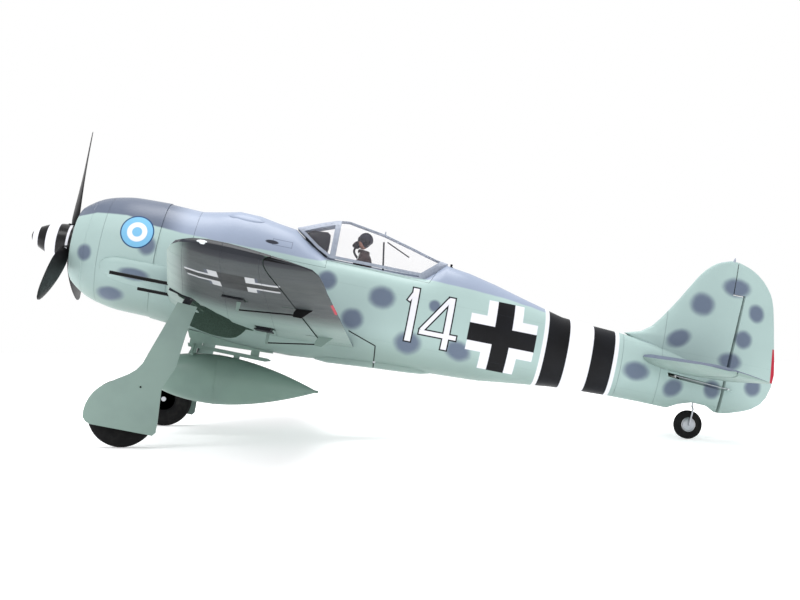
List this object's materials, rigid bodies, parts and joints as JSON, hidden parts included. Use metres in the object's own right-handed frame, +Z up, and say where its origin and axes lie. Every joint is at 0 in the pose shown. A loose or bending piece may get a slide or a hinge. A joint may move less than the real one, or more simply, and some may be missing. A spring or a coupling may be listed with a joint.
{
  "type": "radio-controlled warbird plane",
  "caption": "Radio-controlled low-wing propeller warbird on its landing gear, with moving surfaces, retracting wheels, a lift-off canopy hatch and a belly tank.",
  "frame": {"origin": "on the ground under the middle of the model, which stands on its three wheels", "axes": "-X towards the spinner, +X towards the tail, +Y to the starboard wing tip, +Z up"},
  "size_m": [1.2583, 1.5, 0.5039],
  "materials": {
    "foam_side": "painted foam, pale grey-green, satin",
    "foam_top": "painted foam, blue-grey, satin",
    "foam_wing": "painted foam, grey-green below and grey above, satin",
    "black_plastic": "moulded plastic, satin black",
    "clear_canopy": "clear blown plastic with painted frames",
    "figure": "painted vinyl figure, matt",
    "steel": "bright wire and tube",
    "motor_metal": "turned aluminium, satin",
    "plywood": "bare birch plywood",
    "battery_wrap": "shrink wrap, satin",
    "servo_case": "moulded case, satin",
    "white_plastic": "moulded nylon, white",
    "carbon_tube": "carbon tube, satin",
    "rubber_wheel": "moulded foam-rubber tyre on a plastic hub"
  },
  "bodies": {
    "airframe": {"wing_left": "foam_wing", "aileron_servo_left": "servo_case", "flap_servo_left": "servo_case", "root_cannon_left": "black_plastic", "outer_cannon_left": "black_plastic", "retract_unit_left": "servo_case", "stabilizer_left": "foam_wing", "wing_right": "foam_wing", "aileron_servo_right": "servo_case", "flap_servo_right": "servo_case", "root_cannon_right": "black_plastic", "outer_cannon_right": "black_plastic", "retract_unit_right": "servo_case", "stabilizer_right": "foam_wing", "fuselage": "foam_side", "cowling": "foam_side", "motor_stator": "motor_metal", "motor_mount": "plywood", "flight_battery": "battery_wrap", "speed_controller": "servo_case", "receiver": "servo_case", "wing_spar_tube": "carbon_tube", "rudder_servo": "servo_case", "elevator_servo": "servo_case", "drop_tank": "foam_wing", "tank_rack": "foam_wing"},
    "propeller_assembly": {"spinner": "black_plastic", "propeller": "black_plastic", "motor_bell": "motor_metal"},
    "aileron_left": {"aileron_left": "foam_wing"},
    "aileron_servo_arm_left": {"aileron_servo_arm_left": "white_plastic"},
    "aileron_pushrod_left": {"aileron_pushrod_left": "steel"},
    "aileron_right": {"aileron_right": "foam_wing"},
    "aileron_servo_arm_right": {"aileron_servo_arm_right": "white_plastic"},
    "aileron_pushrod_right": {"aileron_pushrod_right": "steel"},
    "flap_left": {"flap_left": "foam_wing"},
    "flap_servo_arm_left": {"flap_servo_arm_left": "white_plastic"},
    "flap_pushrod_left": {"flap_pushrod_left": "steel"},
    "flap_right": {"flap_right": "foam_wing"},
    "flap_servo_arm_right": {"flap_servo_arm_right": "white_plastic"},
    "flap_pushrod_right": {"flap_pushrod_right": "steel"},
    "elevator": {"elevator": "foam_wing"},
    "elevator_servo_arm": {"elevator_servo_arm": "white_plastic"},
    "elevator_pushrod": {"elevator_pushrod": "steel"},
    "rudder": {"rudder": "foam_side"},
    "rudder_servo_arm": {"rudder_servo_arm": "white_plastic"},
    "rudder_pushrod": {"rudder_pushrod": "steel"},
    "tail_wheel_leg": {"tail_wheel_leg": "steel"},
    "tail_wheel": {"tail_wheel": "rubber_wheel"},
    "gear_leg_left": {"gear_leg_left": "steel", "gear_door_left": "foam_wing"},
    "sliding_leg_left": {"sliding_leg_left": "steel"},
    "wheel_left": {"wheel_left": "rubber_wheel"},
    "gear_leg_right": {"gear_leg_right": "steel", "gear_door_right": "foam_wing"},
    "sliding_leg_right": {"sliding_leg_right": "steel"},
    "wheel_right": {"wheel_right": "rubber_wheel"},
    "hatch": {"hatch_deck": "foam_top", "canopy_glass": "clear_canopy", "pilot_figure": "figure"}
  },
  "joints": [
    {"name": "propeller_spin", "type": "hinge", "parent": "airframe", "child": "propeller_assembly", "pos_m": [-0.56507, 0, 0.31884], "axis": [0.9835, 0, -0.1809], "continuous": true},
    {"name": "aileron_left_swing", "type": "hinge", "parent": "airframe", "child": "aileron_left", "pos_m": [-0.17585, -0.4562, 0.20866], "axis": [0.0888, 0.9901, -0.1085], "range_deg": [-22, 22]},
    {"name": "aileron_arm_left_turn", "type": "hinge", "parent": "airframe", "child": "aileron_servo_arm_left", "pos_m": [-0.25355, -0.4485, 0.21535], "axis": [0.0888, 0.9901, -0.1085], "range_deg": [-22, 22]},
    {"name": "aileron_pushrod_left_pivot", "type": "hinge", "parent": "aileron_servo_arm_left", "child": "aileron_pushrod_left", "pos_m": [-0.25677, -0.45003, 0.19873], "axis": [0.0888, 0.9901, -0.1085], "range_deg": [-22, 22]},
    {"name": "aileron_right_swing", "type": "hinge", "parent": "airframe", "child": "aileron_right", "pos_m": [-0.17585, 0.4562, 0.20866], "axis": [-0.0888, 0.9901, 0.1085], "range_deg": [-22, 22]},
    {"name": "aileron_arm_right_turn", "type": "hinge", "parent": "airframe", "child": "aileron_servo_arm_right", "pos_m": [-0.25355, 0.4485, 0.21535], "axis": [-0.0888, 0.9901, 0.1085], "range_deg": [-22, 22]},
    {"name": "aileron_pushrod_right_pivot", "type": "hinge", "parent": "aileron_servo_arm_right", "child": "aileron_pushrod_right", "pos_m": [-0.25677, 0.45003, 0.19873], "axis": [-0.0888, 0.9901, 0.1085], "range_deg": [-22, 22]},
    {"name": "flap_left_swing", "type": "hinge", "parent": "airframe", "child": "flap_left", "pos_m": [-0.1486, -0.15223, 0.17534], "axis": [0.0888, 0.9901, -0.1085], "range_deg": [0, 45]},
    {"name": "flap_arm_left_turn", "type": "hinge", "parent": "airframe", "child": "flap_servo_arm_left", "pos_m": [-0.22724, -0.14498, 0.17714], "axis": [0.0888, 0.9901, -0.1085], "range_deg": [0, 45]},
    {"name": "flap_pushrod_left_pivot", "type": "hinge", "parent": "flap_servo_arm_left", "child": "flap_pushrod_left", "pos_m": [-0.23141, -0.14697, 0.15563], "axis": [0.0888, 0.9901, -0.1085], "range_deg": [-45, 0]},
    {"name": "flap_right_swing", "type": "hinge", "parent": "airframe", "child": "flap_right", "pos_m": [-0.1486, 0.15223, 0.17534], "axis": [-0.0888, 0.9901, 0.1085], "range_deg": [0, 45]},
    {"name": "flap_arm_right_turn", "type": "hinge", "parent": "airframe", "child": "flap_servo_arm_right", "pos_m": [-0.22724, 0.14498, 0.17714], "axis": [-0.0888, 0.9901, 0.1085], "range_deg": [0, 45]},
    {"name": "flap_pushrod_right_pivot", "type": "hinge", "parent": "flap_servo_arm_right", "child": "flap_pushrod_right", "pos_m": [-0.23141, 0.14697, 0.15563], "axis": [-0.0888, 0.9901, 0.1085], "range_deg": [-45, 0]},
    {"name": "elevator_swing", "type": "hinge", "parent": "airframe", "child": "elevator", "pos_m": [0.4806, 0, 0.11664], "axis": [0, 1, 0], "range_deg": [-20, 20]},
    {"name": "elevator_arm_turn", "type": "hinge", "parent": "airframe", "child": "elevator_servo_arm", "pos_m": [0.40762, 0.03, 0.11786], "axis": [0, 1, 0], "range_deg": [-20, 20]},
    {"name": "elevator_pushrod_pivot", "type": "hinge", "parent": "elevator_servo_arm", "child": "elevator_pushrod", "pos_m": [0.404, 0.03, 0.09819], "axis": [0, 1, 0], "range_deg": [-20, 20]},
    {"name": "rudder_swing", "type": "hinge", "parent": "airframe", "child": "rudder", "pos_m": [0.53622, 0, 0.0848], "axis": [0.2389, 0, 0.9711], "range_deg": [-25, 25]},
    {"name": "rudder_arm_turn", "type": "hinge", "parent": "airframe", "child": "rudder_servo_arm", "pos_m": [0.44494, 0, 0.10726], "axis": [0.2389, 0, 0.9711], "range_deg": [-25, 25]},
    {"name": "rudder_pushrod_pivot", "type": "hinge", "parent": "rudder_servo_arm", "child": "rudder_pushrod", "pos_m": [0.45271, -0.015, 0.10534], "axis": [0.2389, 0, 0.9711], "range_deg": [-25, 25]},
    {"name": "tail_wheel_steer", "type": "hinge", "parent": "airframe", "child": "tail_wheel_leg", "pos_m": [0.48642, 0, 0.0543], "axis": [0.1809, 0, 0.9835], "range_deg": [-25, 25]},
    {"name": "tail_wheel_spin", "type": "hinge", "parent": "tail_wheel_leg", "child": "tail_wheel", "pos_m": [0.47887, 0, 0.02428], "axis": [0, 1, 0], "continuous": true},
    {"name": "gear_left_retract", "type": "hinge", "parent": "airframe", "child": "gear_leg_left", "pos_m": [-0.3353, -0.27, 0.22473], "axis": [0.884, -0.2525, -0.3934], "range_deg": [0, 87.42]},
    {"name": "oleo_left_travel", "type": "slide", "parent": "gear_leg_left", "child": "sliding_leg_left", "axis": [0.5014, 0, 0.8652], "range_m": [0, 0.008], "stiffness_N_per_m": 2500, "springref_m": -0.01},
    {"name": "wheel_left_spin", "type": "hinge", "parent": "sliding_leg_left", "child": "wheel_left", "pos_m": [-0.43658, -0.2515, 0.04997], "axis": [0, 1, 0], "continuous": true},
    {"name": "gear_right_retract", "type": "hinge", "parent": "airframe", "child": "gear_leg_right", "pos_m": [-0.3353, 0.27, 0.22473], "axis": [-0.884, -0.2525, 0.3934], "range_deg": [0, 87.42]},
    {"name": "oleo_right_travel", "type": "slide", "parent": "gear_leg_right", "child": "sliding_leg_right", "axis": [0.5014, 0, 0.8652], "range_m": [0, 0.008], "stiffness_N_per_m": 2500, "springref_m": -0.01},
    {"name": "wheel_right_spin", "type": "hinge", "parent": "sliding_leg_right", "child": "wheel_right", "pos_m": [-0.43658, 0.2515, 0.04997], "axis": [0, 1, 0], "continuous": true},
    {"name": "hatch_lift", "type": "slide", "parent": "airframe", "child": "hatch", "axis": [0.1809, 0, 0.9835], "range_m": [0, 0.12]}
  ],
  "couplings": [
    {"joint": "aileron_arm_left_turn", "follows": "aileron_left_swing", "ratio": 1},
    {"joint": "aileron_pushrod_left_pivot", "follows": "aileron_left_swing", "ratio": -1},
    {"joint": "aileron_right_swing", "follows": "aileron_left_swing", "ratio": -1},
    {"joint": "aileron_arm_right_turn", "follows": "aileron_left_swing", "ratio": -1},
    {"joint": "aileron_pushrod_right_pivot", "follows": "aileron_left_swing", "ratio": 1},
    {"joint": "flap_arm_left_turn", "follows": "flap_left_swing", "ratio": 1},
    {"joint": "flap_pushrod_left_pivot", "follows": "flap_left_swing", "ratio": -1},
    {"joint": "flap_right_swing", "follows": "flap_left_swing", "ratio": 1},
    {"joint": "flap_arm_right_turn", "follows": "flap_left_swing", "ratio": 1},
    {"joint": "flap_pushrod_right_pivot", "follows": "flap_left_swing", "ratio": -1},
    {"joint": "elevator_arm_turn", "follows": "elevator_swing", "ratio": 1},
    {"joint": "elevator_pushrod_pivot", "follows": "elevator_swing", "ratio": -1},
    {"joint": "rudder_arm_turn", "follows": "rudder_swing", "ratio": 1},
    {"joint": "rudder_pushrod_pivot", "follows": "rudder_swing", "ratio": -1},
    {"joint": "tail_wheel_steer", "follows": "rudder_swing", "ratio": 1},
    {"joint": "gear_right_retract", "follows": "gear_left_retract", "ratio": 1}
  ]
}
